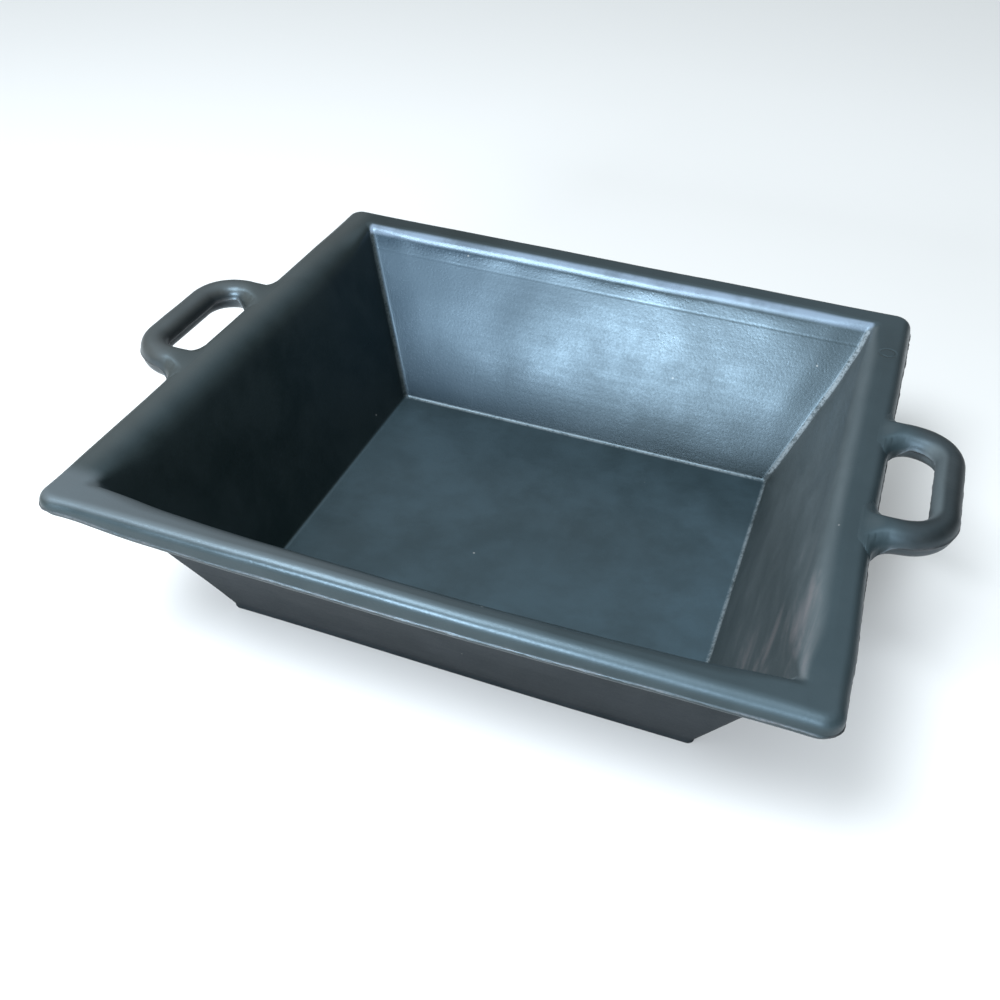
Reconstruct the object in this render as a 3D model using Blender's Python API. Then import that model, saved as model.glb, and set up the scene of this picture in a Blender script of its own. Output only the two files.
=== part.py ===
"""Mortar mixing tub: a square flared rubber tub with a rolled rim and two loop handles.

The tub stands on z = 0 with its centre on the origin, the handles on the -X and +X ends.
Rubber is laid in the mould as separate blanks: a floor, four walls, four rim strips and two
handles. Canvas plies lie inside the floor and walls, a cord hoop inside the rim, and a rope
core inside each handle. Every blank is its own object, a hair's breadth from its neighbour.
"""

import math

import bmesh
import bpy
from mathutils import Vector

# Driving dimensions, in metres
RIM_LENGTH = 0.650
RIM_WIDTH = 0.602
RIM_HEIGHT = 0.180
RIM_LAND = 0.0365
WALL_RUN = 0.076
FLOOR_THICKNESS = 0.0095
WALL_THICKNESS = 0.009
GAP = 0.0003

# Rim strip section
RIM_DEPTH = 0.030
LIP_RADIUS = 0.006
ROLL_WIDTH = 0.010
ROLL_DEPTH = 0.009
PARTING_DEPTH = 0.016
FLASH_PROUD = 0.0012
FLASH_THICKNESS = 0.0012
LOWER_STEP = 0.0026
LOWER_RADIUS = 0.0034
LOWER_LAND = 0.0008
UNDERSIDE_DEPTH = 0.0223
COVE_START = 0.026

# Corner radii seen from above
RIM_CORNER = 0.018
INNER_CORNER = 0.004
OUTER_CORNER = 0.010
FOOT_RADIUS = 0.004

# Handles
HANDLE_REACH = 0.0470
HANDLE_HALF_SPAN = 0.072
HANDLE_RADIUS = 0.0135
HANDLE_BEND = 0.032
HANDLE_DROP = 0.006
# Each handle root, from inside the rim outwards: distance out from the rim, dip, share of the radius
HANDLE_ROOT = (
    (-0.020, 0.0065, 0.70),
    (-0.007, 0.0035, 0.90),
    (0.005, 0.0010, 1.0),
    (0.013, 0.0, 1.0),
)
CORE_RADIUS = 0.0045

# Reinforcement
HOOP_RADIUS = 0.004
HOOP_INSET = 0.017
HOOP_DEPTH = 0.0105
PLY_THICKNESS = 0.0009
PLY_SLOT = PLY_THICKNESS + 2 * GAP
PLY_MARGIN = 0.012

CORNER_STEPS = 6
BEND_STEPS = 6
SHARP_ANGLE = math.radians(32)
DRAFT = WALL_RUN / (RIM_HEIGHT - FLOOR_THICKNESS)
WALL_SPAN = WALL_THICKNESS * math.sqrt(1 + DRAFT**2)
WALL_TOP = RIM_HEIGHT - RIM_DEPTH

# Colour and roughness of each material
RUBBER = ((0.055, 0.067, 0.078), 0.55)
HANDLE_RUBBER = ((0.062, 0.070, 0.078), 0.60)
CANVAS = ((0.46, 0.41, 0.33), 0.90)
ROPE = ((0.52, 0.47, 0.38), 0.90)


def clear_scene():
    for obj in list(bpy.data.objects):
        bpy.data.objects.remove(obj, do_unlink=True)


def new_collection(name):
    collection = bpy.data.collections.new(name)
    bpy.context.scene.collection.children.link(collection)
    return collection


def new_material(name, color, roughness):
    material = bpy.data.materials.new(name)
    material.use_nodes = True
    shader = material.node_tree.nodes["Principled BSDF"]
    shader.inputs["Base Color"].default_value = (*color, 1.0)
    shader.inputs["Roughness"].default_value = roughness
    shader.inputs["Metallic"].default_value = 0.0
    material.diffuse_color = (*color, 1.0)
    return material


def mesh_from(bm, name):
    bmesh.ops.remove_doubles(bm, verts=bm.verts, dist=1e-7)
    bmesh.ops.recalc_face_normals(bm, faces=bm.faces)
    mesh = bpy.data.meshes.new(name)
    bm.to_mesh(mesh)
    bm.free()
    mesh.shade_smooth()
    mesh.set_sharp_from_angle(angle=SHARP_ANGLE)
    return mesh


def add_part(name, mesh, material, half_turn=False):
    """Add a sub-part under the tub's empty. half_turn puts a shared mesh on the opposite side."""
    obj = bpy.data.objects.new(name, mesh)
    parts.objects.link(obj)
    obj.parent = tub
    obj.rotation_euler.z = math.pi if half_turn else 0.0
    if not mesh.materials:
        mesh.materials.append(material)
    return obj


def add_cutter(name, mesh):
    obj = bpy.data.objects.new(name, mesh)
    cutters.objects.link(obj)
    obj.hide_render = True
    obj.display_type = "WIRE"
    return obj


def cut(obj, cutter):
    boolean = obj.modifiers.new("cut " + cutter.name, "BOOLEAN")
    boolean.operation = "DIFFERENCE"
    boolean.solver = "EXACT"
    boolean.object = cutter


# Rings: each point of a section follows its own rounded rectangle round the tub


def inner_inset(height):
    return RIM_LAND + (RIM_HEIGHT - height) * DRAFT


def outer_inset(height):
    return inner_inset(height) - WALL_SPAN


def rounded_rectangle(inset, height, radius):
    """Corner points of a rounded rectangle that lies this far inside the rim's outline."""
    points = []
    for corner in range(4):
        turn = corner * math.pi / 2
        side_x = 1 if corner in (0, 3) else -1
        side_y = 1 if corner in (0, 1) else -1
        centre_x = side_x * (RIM_LENGTH / 2 - inset - radius)
        centre_y = side_y * (RIM_WIDTH / 2 - inset - radius)
        for step in range(CORNER_STEPS + 1):
            angle = turn + step * math.pi / 2 / CORNER_STEPS
            x = centre_x + radius * math.cos(angle)
            y = centre_y + radius * math.sin(angle)
            points.append((x, y, height))
    return points


def skin_rings(bm, section, closed):
    """Join the rounded rectangles of a section into a surface, capped flat unless it closes on itself."""
    rings = [[bm.verts.new(point) for point in rounded_rectangle(*place)] for place in section]
    pairs = list(zip(rings, rings[1:]))
    if closed:
        pairs.append((rings[-1], rings[0]))
    else:
        bm.faces.new(rings[0])
        bm.faces.new(rings[-1])
    for lower, upper in pairs:
        for index in range(len(lower)):
            following = (index + 1) % len(lower)
            bm.faces.new((lower[index], lower[following], upper[following], upper[index]))


def keep_side(bm, side, gap):
    """Cut a ring along the mitres of two corners and keep the strip on one side of the tub."""
    if side == "front":
        corners = [(-1, -1, Vector((-1, 1, 0))), (1, -1, Vector((1, 1, 0)))]
    else:
        corners = [(1, -1, Vector((-1, -1, 0))), (1, 1, Vector((-1, 1, 0)))]
    for side_x, side_y, away in corners:
        away.normalize()
        corner = Vector((side_x * RIM_LENGTH / 2, side_y * RIM_WIDTH / 2, 0))
        geometry = bm.verts[:] + bm.edges[:] + bm.faces[:]
        plane = corner - away * gap / 2
        bmesh.ops.bisect_plane(bm, geom=geometry, plane_co=plane, plane_no=away, clear_outer=True)
        open_edges = [edge for edge in bm.edges if edge.is_boundary]
        bmesh.ops.holes_fill(bm, edges=open_edges, sides=0)


def mitred_strip(name, section, side):
    bm = bmesh.new()
    skin_rings(bm, section, closed=True)
    bmesh.ops.recalc_face_normals(bm, faces=bm.faces)
    keep_side(bm, side, GAP)
    return mesh_from(bm, name)


# Sections, as (inset from the rim's outline, height, corner radius)


def arc(centre, radii, start, end, steps):
    """Points on an ellipse in a section, with angles in degrees from the outward direction."""
    points = []
    for step in range(steps + 1):
        angle = math.radians(start + (end - start) * step / steps)
        inset = centre[0] - radii[0] * math.cos(angle)
        height = centre[1] + radii[1] * math.sin(angle)
        points.append((inset, height))
    return points


def cove(start, corner, end, steps):
    """Points on a hollow curve that leaves start and meets end in line with the corner between them."""
    points = []
    for step in range(steps + 1):
        t = step / steps
        weights = ((1 - t) ** 2, 2 * t * (1 - t), t**2)
        inset = weights[0] * start[0] + weights[1] * corner[0] + weights[2] * end[0]
        height = weights[0] * start[1] + weights[1] * corner[1] + weights[2] * end[1]
        points.append((inset, height))
    return points


def rim_section(grow=0.0):
    """The rim strip's section: wall stub, lip, land, outer roll, flash, lower step, underside and cove."""
    top = RIM_HEIGHT + grow
    foot = WALL_TOP
    face = FLASH_PROUD - grow
    wall_angle = math.degrees(math.atan(1 / DRAFT))
    lip_tangent = LIP_RADIUS * math.tan(math.radians(wall_angle) / 2)
    lip_centre = (RIM_LAND - lip_tangent, top - LIP_RADIUS)
    roll_centre = (face + ROLL_WIDTH, top - ROLL_DEPTH)
    parting = RIM_HEIGHT - PARTING_DEPTH
    flash_top = parting + FLASH_THICKNESS / 2 + grow
    flash_foot = parting - FLASH_THICKNESS / 2 - grow
    step = LOWER_STEP - grow
    lower_centre = (step + LOWER_RADIUS, flash_foot - LOWER_LAND)
    under = RIM_HEIGHT - UNDERSIDE_DEPTH - grow
    upper = [(inner_inset(foot) + grow, foot - grow)]
    upper += arc(lip_centre, (LIP_RADIUS, LIP_RADIUS), 90 + wall_angle, 90, 4)
    upper += arc(roll_centre, (ROLL_WIDTH, ROLL_DEPTH), 90, 0, 6)
    upper += [(face, flash_top), (-grow, flash_top)]
    lower = [(-grow, flash_foot), (step, flash_foot)]
    lower += arc(lower_centre, (LOWER_RADIUS, LOWER_RADIUS), 0, -80, 3)
    wall_meets = (outer_inset(under), under)
    wall_foot = (outer_inset(foot) - grow, foot - grow)
    lower += cove((COVE_START, under), wall_meets, wall_foot, 4)
    section = [(inset, height, max(RIM_CORNER - inset, INNER_CORNER)) for inset, height in upper]
    for inset, height in lower:
        share = min(inset / wall_foot[0], 1.0)
        section.append((inset, height, RIM_CORNER + (OUTER_CORNER - RIM_CORNER) * share))
    return section


def wall_section():
    top = WALL_TOP - GAP
    points = [(inner_inset(0.0), 0.0, INNER_CORNER), (inner_inset(top), top, INNER_CORNER)]
    points.append((outer_inset(top), top, OUTER_CORNER))
    foot = arc((outer_inset(FOOT_RADIUS) + FOOT_RADIUS, FOOT_RADIUS), (FOOT_RADIUS, FOOT_RADIUS), 0, -90, 4)
    return points + [(inset, height, OUTER_CORNER) for inset, height in foot]


def floor_section():
    radius = INNER_CORNER - GAP
    return [(inner_inset(height) + GAP, height, radius) for height in (0.0, FLOOR_THICKNESS)]


# Reinforcement laid inside the blanks


def leaning_slab(name, side, low, high, thickness, margin):
    """A flat trapezoid that lies in the middle of a wall's thickness, from one height to another."""
    bm = bmesh.new()
    bmesh.ops.create_cube(bm, size=2.0)
    for vert in bm.verts:
        height = high if vert.co.z > 0 else low
        outward = -vert.co.y
        middle = inner_inset(height) - WALL_SPAN / 2
        inset = middle - outward * thickness / 2 * math.sqrt(1 + DRAFT**2)
        across, along = (RIM_WIDTH, RIM_LENGTH) if side == "front" else (RIM_LENGTH, RIM_WIDTH)
        length = vert.co.x * (along / 2 - middle - margin)
        distance = across / 2 - inset
        vert.co = (length, -distance, height) if side == "front" else (distance, length, height)
    return mesh_from(bm, name)


def floor_slab(name, thickness, margin, reach):
    """A flat sheet in the middle of the floor's thickness; reach runs it out through the back edge."""
    inset = inner_inset(FLOOR_THICKNESS / 2) + margin
    bm = bmesh.new()
    bmesh.ops.create_cube(bm, size=2.0)
    for vert in bm.verts:
        width = RIM_WIDTH / 2 - inset
        if vert.co.y > 0:
            width += reach
        vert.co.x *= RIM_LENGTH / 2 - inset
        vert.co.y *= width
        vert.co.z = FLOOR_THICKNESS / 2 + vert.co.z * thickness / 2
    return mesh_from(bm, name)


def tube(name, points, radius, cyclic=False, bevel_steps=4):
    """A round tube along (point, radius factor) pairs, made with a curve and turned into a mesh."""
    curve = bpy.data.curves.new(name, "CURVE")
    curve.dimensions = "3D"
    curve.bevel_depth = radius
    curve.bevel_resolution = bevel_steps
    curve.use_fill_caps = not cyclic
    spline = curve.splines.new("POLY")
    spline.points.add(len(points) - 1)
    spline.use_cyclic_u = cyclic
    for place, (co, factor) in zip(spline.points, points):
        place.co = (*co, 1.0)
        place.radius = factor
    guide = bpy.data.objects.new(name, curve)
    cutters.objects.link(guide)
    bpy.context.view_layer.update()
    graph = bpy.context.evaluated_depsgraph_get()
    made = bpy.data.meshes.new_from_object(guide.evaluated_get(graph))
    made.transform(guide.matrix_world)
    bm = bmesh.new()
    bm.from_mesh(made)
    bpy.data.objects.remove(guide, do_unlink=True)
    bpy.data.meshes.remove(made)
    bpy.data.curves.remove(curve)
    return mesh_from(bm, name)


def hoop_route():
    places = rounded_rectangle(HOOP_INSET, RIM_HEIGHT - HOOP_DEPTH, RIM_CORNER)
    return [(place, 1.0) for place in places]


def handle_route():
    """Centre line of the loop: it dives into the rim at each root, with the tube narrowed to hide there."""
    edge = RIM_LENGTH / 2
    level = RIM_HEIGHT - HANDLE_DROP
    reach = edge + HANDLE_REACH
    root = []
    for out, dip, factor in HANDLE_ROOT:
        root.append(((edge + out, -HANDLE_HALF_SPAN, level - dip), factor))
    bend = []
    for step in range(BEND_STEPS + 1):
        angle = math.radians(90 * step / BEND_STEPS)
        x = reach - HANDLE_BEND + HANDLE_BEND * math.sin(angle)
        y = -HANDLE_HALF_SPAN + HANDLE_BEND - HANDLE_BEND * math.cos(angle)
        bend.append(((x, y, level), 1.0))
    half = root + bend
    mirrored = [((x, -y, z), factor) for (x, y, z), factor in reversed(half)]
    return half + mirrored


clear_scene()
parts = new_collection("mortar_tub")
cutters = new_collection("cutters")
tub = bpy.data.objects.new("tub", None)
parts.objects.link(tub)

rubber = new_material("tub_rubber", *RUBBER)
handle_rubber = new_material("handle_rubber", *HANDLE_RUBBER)
canvas = new_material("canvas_ply", *CANVAS)
rope = new_material("reinforcing_rope", *ROPE)

# Floor and its ply: the ply's slot opens only at the back edge, behind the back wall
floor_bm = bmesh.new()
skin_rings(floor_bm, floor_section(), closed=False)
floor = add_part("floor", mesh_from(floor_bm, "floor"), rubber)
floor_slot = floor_slab("floor_slot", PLY_SLOT, PLY_MARGIN, 2 * PLY_MARGIN)
cut(floor, add_cutter("floor_slot", floor_slot))
add_part("floor_ply", floor_slab("floor_ply", PLY_THICKNESS, PLY_MARGIN + GAP, 0.0), canvas)

# Walls, rim strips and wall plies, in opposite pairs that share a mesh
hoop_channel = add_cutter("hoop_channel", tube("hoop_channel", hoop_route(), HOOP_RADIUS + GAP, cyclic=True))
for side, opposite in (("front", "back"), ("right", "left")):
    wall_mesh = mitred_strip(side + "_wall", wall_section(), side)
    rim_mesh = mitred_strip(side + "_rim", rim_section(), side)
    ply_foot = FLOOR_THICKNESS + PLY_MARGIN / 2
    slot_mesh = leaning_slab(side + "_slot", side, ply_foot, RIM_HEIGHT, PLY_SLOT, PLY_MARGIN)
    ply_top = WALL_TOP - 2 * GAP
    ply_mesh = leaning_slab(
        side + "_ply", side, ply_foot + GAP, ply_top, PLY_THICKNESS, PLY_MARGIN + GAP
    )
    for name, half_turn in ((side, False), (opposite, True)):
        wall = add_part(name + "_wall", wall_mesh, rubber, half_turn)
        slot = add_cutter(name + "_slot", slot_mesh)
        slot.rotation_euler.z = wall.rotation_euler.z
        cut(wall, slot)
        add_part(name + "_wall_ply", ply_mesh, canvas, half_turn)
        cut(add_part(name + "_rim", rim_mesh, rubber, half_turn), hoop_channel)

add_part("rim_cord", tube("rim_cord", hoop_route(), HOOP_RADIUS, cyclic=True), rope)

# Handles: a loop cut to sit against the rim, bored for its rope core
clearance_bm = bmesh.new()
skin_rings(clearance_bm, rim_section(grow=GAP), closed=True)
rim_clearance = add_cutter("rim_clearance", mesh_from(clearance_bm, "rim_clearance"))
loop_mesh = tube("handle", handle_route(), HANDLE_RADIUS, bevel_steps=6)
bore_mesh = tube("handle_bore", handle_route(), CORE_RADIUS + GAP)
core_mesh = tube("handle_core", handle_route(), CORE_RADIUS)
for name, half_turn in (("right", False), ("left", True)):
    handle = add_part(name + "_handle", loop_mesh, handle_rubber, half_turn)
    core = add_part(name + "_handle_core", core_mesh, rope, half_turn)
    bore = add_cutter(name + "_handle_bore", bore_mesh)
    bore.rotation_euler.z = handle.rotation_euler.z
    cut(handle, bore)
    cut(handle, rim_clearance)
    cut(core, rim_clearance)
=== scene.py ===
# %% [markdown]
# # A moulded rubber mortar tub
#
# The real tub is pressed from rubber in a steel mould: a flat floor, four walls that flare outwards, a
# thick rolled rim and a loop handle at each end. Canvas plies and a rope are laid between the rubber blanks
# before they cure. This lesson loads the engineering model as a fixed frame and puts a finished skin over
# it. Measures that the frame has are taken from the frame, so that the skin cannot drift away from it.

# %% Load the frame
import math
from types import SimpleNamespace

import bmesh
import bpy
from mathutils import Matrix, Vector, noise


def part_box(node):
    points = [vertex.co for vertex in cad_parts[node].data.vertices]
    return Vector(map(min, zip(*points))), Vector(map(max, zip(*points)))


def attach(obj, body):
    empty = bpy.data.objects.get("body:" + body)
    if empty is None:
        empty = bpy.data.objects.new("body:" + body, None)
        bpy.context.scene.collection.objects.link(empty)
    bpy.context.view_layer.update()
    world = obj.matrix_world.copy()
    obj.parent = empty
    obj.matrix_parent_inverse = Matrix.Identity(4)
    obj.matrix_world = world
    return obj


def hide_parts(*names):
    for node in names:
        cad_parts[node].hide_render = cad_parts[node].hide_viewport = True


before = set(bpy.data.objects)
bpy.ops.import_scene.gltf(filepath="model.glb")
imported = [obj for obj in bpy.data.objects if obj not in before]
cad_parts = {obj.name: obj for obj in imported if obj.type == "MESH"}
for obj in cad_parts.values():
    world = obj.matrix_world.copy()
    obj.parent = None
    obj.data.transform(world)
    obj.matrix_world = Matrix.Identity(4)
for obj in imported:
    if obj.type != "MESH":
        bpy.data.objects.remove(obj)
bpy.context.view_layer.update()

# %% [markdown]
# ## Measures
#
# The rim's outline, its top, the floor's top and the level where a rim strip sits on its wall come from the
# nodes. The walls lean outwards by the same draft all round, which lets the tub out of its mould, so the
# inside and outside of a wall are straight lines in a section.

# %% Measures from the frame
rim_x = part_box("right_rim")[1].x
rim_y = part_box("back_rim")[1].y
rim_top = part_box("front_rim")[1].z
floor_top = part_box("floor")[1].z
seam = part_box("front_rim")[0].z
blank_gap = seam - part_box("front_wall")[1].z
land_inset = 0.0365
wall_thickness = 0.009
floor_inset = rim_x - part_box("floor")[1].x - blank_gap
draft = (floor_inset - land_inset) / (rim_top - floor_top)
wall_slope = math.atan(1 / draft)
wall_span = wall_thickness * math.sqrt(1 + draft**2)
print("rim", round(rim_x * 2, 4), round(rim_y * 2, 4), "wall slope", round(math.degrees(wall_slope), 1))


def inner_inset(height):
    """How far the wall's inner face lies inside the rim's outline at a height."""
    return land_inset + (rim_top - height) * draft


def outer_inset(height):
    """The same for the wall's outer face."""
    return inner_inset(height) - wall_span


def ease(value, low, high):
    """0 below low, 1 above high, with a smooth run between them."""
    t = min(max((value - low) / (high - low), 0.0), 1.0)
    return t * t * (3 - 2 * t)


# %% [markdown]
# ## Stations round the tub
#
# Every ring of the skin is a rounded rectangle with the same number of points, called stations, so that
# rings join into clean quads. A station is either a step round one of the four corners or a step along a
# side. The steps are about 3 mm long, fine enough for the ragged flash to be real geometry. The sides come
# in the order back, left, front, right, and each has its own softness of lip.

# %% Stations
CORNER_STEPS = 16
SIDE_STEPS = (200, 186, 200, 186)
CORNER_SIGNS = ((1, 1), (-1, 1), (-1, -1), (1, -1))
SIDE_SOFTNESS = (0.4, 1.0, 0.8, 0.75)
SOFT_RUN_IN = 0.07
stations = []
corner_start = []
for corner in range(4):
    corner_start.append(len(stations))
    for step in range(CORNER_STEPS + 1):
        stations.append((corner, step / CORNER_STEPS, None))
    for step in range(1, SIDE_STEPS[corner]):
        stations.append((corner, None, step / SIDE_STEPS[corner]))
STATIONS = len(stations)
mitre = [start + CORNER_STEPS // 2 for start in corner_start]
print("stations", STATIONS, "mitres at", mitre)


def corner_point(corner, share, inset, radius):
    """A point a share of the way round a corner's quarter circle."""
    side_x, side_y = CORNER_SIGNS[corner]
    angle = math.radians(90 * (corner + share))
    x = side_x * (rim_x - inset - radius) + radius * math.cos(angle)
    y = side_y * (rim_y - inset - radius) + radius * math.sin(angle)
    return x, y


def station_point(index, inset, radius):
    """Where a rounded rectangle, inset from the rim's outline, passes a station."""
    corner, share, along = stations[index]
    if along is None:
        return corner_point(corner, share, inset, radius)
    start = corner_point(corner, 1.0, inset, radius)
    end = corner_point((corner + 1) % 4, 0.0, inset, radius)
    return start[0] + (end[0] - start[0]) * along, start[1] + (end[1] - start[1]) * along


def softness(index):
    """How rounded the lip is at a station: full in the middle of a soft side, none at its corners."""
    corner, share, along = stations[index]
    if along is None:
        return 0.0
    reach = min(along, 1 - along) * rim_y * 2
    return SIDE_SOFTNESS[corner] * ease(reach, 0.0, SOFT_RUN_IN)


# %% [markdown]
# ## The section
#
# The rim's section is drawn once as a list of points, each with its inset from the outline and its height:
# up the inside of the wall, over the lip and the flat land, down the outer roll, past the flash, under the
# flange and down the outside to the foot. The flash is the thin fin of rubber that escapes where the
# mould's halves meet. The lip is crisp at the corners and softer along the sides, so there are two sections
# with the same number of points, and each station mixes them.

# %% Draw the section
FILLET = 0.005
FOOT_RADIUS = 0.004
FACE_INSET = 0.0012
ROLL = (0.010, 0.009)
PARTING = rim_top - 0.016
UNDER = rim_top - 0.0223
COVE_START = 0.026
LOWER_STEP = 0.0026
LOWER_RADIUS = 0.0034
COVE_STEPS = 7
CRISP_LIP = 0.012
SOFT_LIP = 0.030
FIN = (
    (FACE_INSET, 0.0009),
    (0.0008, 0.0006),
    (0.00015, 0.0004),
    (0.0, 0.0),
    (0.0002, -0.0004),
    (0.0016, -0.0006),
    (0.0024, -0.0009),
)


def arc(centre, radii, start, end, steps):
    """Points on an ellipse in a section, with angles in degrees from the outward direction."""
    points = []
    for step in range(steps + 1):
        angle = math.radians(start + (end - start) * step / steps)
        points.append((centre[0] - radii[0] * math.cos(angle), centre[1] + radii[1] * math.sin(angle)))
    return points


def run(start, end, steps):
    """Points on a straight line, without its two ends."""
    shares = [step / steps for step in range(1, steps)]
    return [(start[0] + (end[0] - start[0]) * s, start[1] + (end[1] - start[1]) * s) for s in shares]


def section(lip_radius):
    """The whole section as (kind, (inset, height)) points, for one radius of the lip."""
    slope = math.degrees(wall_slope)
    toe = (floor_inset + FILLET * math.tan(wall_slope / 2), floor_top + FILLET)
    rows = [("inner", point) for point in arc(toe, (FILLET, FILLET), -90, slope - 90, 6)]
    seam_inner = (inner_inset(seam), seam)
    rows += [("inner", point) for point in run(rows[-1][1], seam_inner, 16)]
    rows.append(("seam", seam_inner))
    lip_tangent = lip_radius * math.tan(wall_slope / 2)
    lip_centre = (land_inset - lip_tangent, rim_top - lip_radius)
    lip = arc(lip_centre, (lip_radius, lip_radius), 90 + slope, 90, 10)
    rows += [("lip", point) for point in run(seam_inner, lip[0], 4)]
    rows += [("lip", point) for point in lip]
    roll = arc((FACE_INSET + ROLL[0], rim_top - ROLL[1]), ROLL, 90, 0, 14)
    rows += [("land", point) for point in run(lip[-1], roll[0], 9)]
    rows += [("roll", point) for point in roll]
    rows += [("face", point) for point in run(roll[-1], (FACE_INSET, PARTING + FIN[0][1]), 4)]
    rows += [("fin", (inset, PARTING + rise)) for inset, rise in FIN]
    lower = (LOWER_STEP + LOWER_RADIUS, UNDER + LOWER_RADIUS)
    rows += [("lower", point) for point in arc(lower, (LOWER_RADIUS, LOWER_RADIUS), 10, -90, 6)]
    under_end = (COVE_START, UNDER)
    rows += [("under", point) for point in run(rows[-1][1], under_end, 6)]
    corner = (outer_inset(UNDER), UNDER)
    seam_outer = (outer_inset(seam), seam)
    for step in range(COVE_STEPS):
        t = step / COVE_STEPS
        weights = ((1 - t) ** 2, 2 * t * (1 - t), t * t)
        places = (under_end, corner, seam_outer)
        inset = sum(weight * place[0] for weight, place in zip(weights, places))
        height = sum(weight * place[1] for weight, place in zip(weights, places))
        rows.append(("cove", (inset, height)))
    rows.append(("seam", seam_outer))
    foot_inset = outer_inset(FOOT_RADIUS) + FOOT_RADIUS
    foot = arc((foot_inset, FOOT_RADIUS), (FOOT_RADIUS, FOOT_RADIUS), 90 - slope, -90, 6)
    rows += [("outer", point) for point in run(seam_outer, foot[0], 16)]
    rows += [("foot", point) for point in foot]
    rows.append(("sole", (toe[0], 0.0)))
    return rows


crisp = section(CRISP_LIP)
soft = section(SOFT_LIP)
kinds = [kind for kind, point in crisp]
seam_rings = [index for index, kind in enumerate(kinds) if kind == "seam"]
print("rings", len(crisp), "seams at", seam_rings)

# %% [markdown]
# The corners' radii differ from ring to ring: 18 mm at the outline, a tight 6 mm inside, where the mould's
# core has almost sharp edges, and 10 mm on the outside of the walls, which is tighter again at the foot.


# %% Corner radii
RIM_CORNER = 0.018
INNER_CORNER = 0.006
OUTER_CORNER = 0.010
FOOT_TIGHTER = 0.005


def corner_radius(kind, inset):
    """The radius of a ring's corners, from its kind and its inset."""
    if kind in ("inner", "lip", "land", "roll", "face"):
        tight = INNER_CORNER - max(inset - floor_inset, 0.0)
        return max(RIM_CORNER - inset, tight)
    if kind == "sole":
        return INNER_CORNER - (inset - floor_inset)
    under_share = min(inset / outer_inset(seam), 1.0)
    wall_share = ease(inset, outer_inset(seam), outer_inset(0.0))
    return RIM_CORNER - (RIM_CORNER - OUTER_CORNER) * under_share - FOOT_TIGHTER * wall_share


def ring_place(ring, index):
    """Where a ring of the skin passes a station."""
    kind, (inset, height) = crisp[ring]
    share = softness(index)
    if share > 0:
        soft_inset, soft_height = soft[ring][1]
        inset += (soft_inset - inset) * share
        height += (soft_height - height) * share
    if kind == "seam":
        radius = INNER_CORNER if ring == seam_rings[0] else OUTER_CORNER
    else:
        radius = corner_radius(kind, inset)
    x, y = station_point(index, inset, radius)
    return Vector((x, y, height))


# %% [markdown]
# ## The skin
#
# One ring of vertices is made with create_circle and placed on the first point of the section. Then the
# ring is extruded again and again, and each new ring is moved to the next point. Two number layers remember
# each vertex's ring and station: an extrusion copies them, so a new vertex knows where it belongs.

# %% Extrude the skin
skin = bmesh.new()
ring_layer = skin.verts.layers.int.new("ring")
station_layer = skin.verts.layers.int.new("station")
fin_layer = skin.verts.layers.float.new("flash")
crust_and_highlight_layer = skin.verts.layers.float.new("crust_and_highlight")
bmesh.ops.create_circle(skin, segments=STATIONS, radius=1.0)
skin.verts.ensure_lookup_table()
ordered = sorted(skin.verts, key=lambda vert: math.atan2(vert.co.y, vert.co.x) % math.tau)
for index, vert in enumerate(ordered):
    vert[station_layer] = index
    vert.co = ring_place(0, index)
edges = skin.edges[:]
for ring in range(1, len(crisp)):
    made = bmesh.ops.extrude_edge_only(skin, edges=edges)["geom"]
    for vert in made:
        if isinstance(vert, bmesh.types.BMVert):
            vert[ring_layer] = ring
            vert.co = ring_place(ring, vert[station_layer])
    fresh = {vert for vert in made if isinstance(vert, bmesh.types.BMVert)}
    edges = [edge for edge in made if isinstance(edge, bmesh.types.BMEdge) and set(edge.verts) <= fresh]
print("skin", len(skin.verts), "vertices", len(skin.faces), "faces")

# %% [markdown]
# ## Settle the rubber
#
# A tub fresh from a drawing looks wrong: rubber this thick creeps under its own weight. The right end has
# crept inwards, the front lip has bowed forwards and dropped a little, the front flange hangs in the middle,
# and the walls have shallow waves. No move goes past the rim's outline, so the tub stays inside its frame.
# Below the rim every move is under 4 mm, so that the canvas stays covered. The foot stays flat. Each move is
# a distance times a few smooth shares, so that it fades out and leaves no kink.

# %% Settle
SIDE_CREEP = 0.006
WALL_CREEP_SHARE = 0.35
FLANGE_HANG = 0.0035
HANG_MIDDLE = -0.02
HANG_REACH = 0.29
CORNER_LIFT = 0.0045
LIP_BOW = 0.0100
WALL_BOW = 0.0025
LIP_DROP = 0.003
BOW_MIDDLE = 0.005
BOW_REACH = 0.30
BOW_START = ROLL[0] + FACE_INSET
BOW_FULL = 0.0248
FOOT_DRAW = 0.003
WAVE = 0.0007
WAVE_CREST = 0.9
LAND_SAG = 0.0006
SKIRT_KINDS = ("face", "fin", "lower", "under", "cove")


def skirt_share(height):
    """How much of a move the flange's outside takes: none on its roll and none at the seam."""
    return ease(height, seam, UNDER) * ease(rim_top - height, 0.009, 0.0155)


def front_bow(co):
    """How far the front lip comes forwards and down at a point, most in its middle."""
    bowed = max(1 - ((co.x - BOW_MIDDLE) / BOW_REACH) ** 2, 0.0)
    inward = min(max((rim_y + co.y - BOW_START) / BOW_FULL, 0.0), 1.0)
    bow = WALL_BOW * ease(co.z, 0.04, seam) + (LIP_BOW - WALL_BOW) * ease(co.z, seam, 0.176)
    drop = LIP_DROP * ease(co.z, 0.14, 0.178)
    return bow * bowed * inward, drop * bowed * inward


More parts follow.
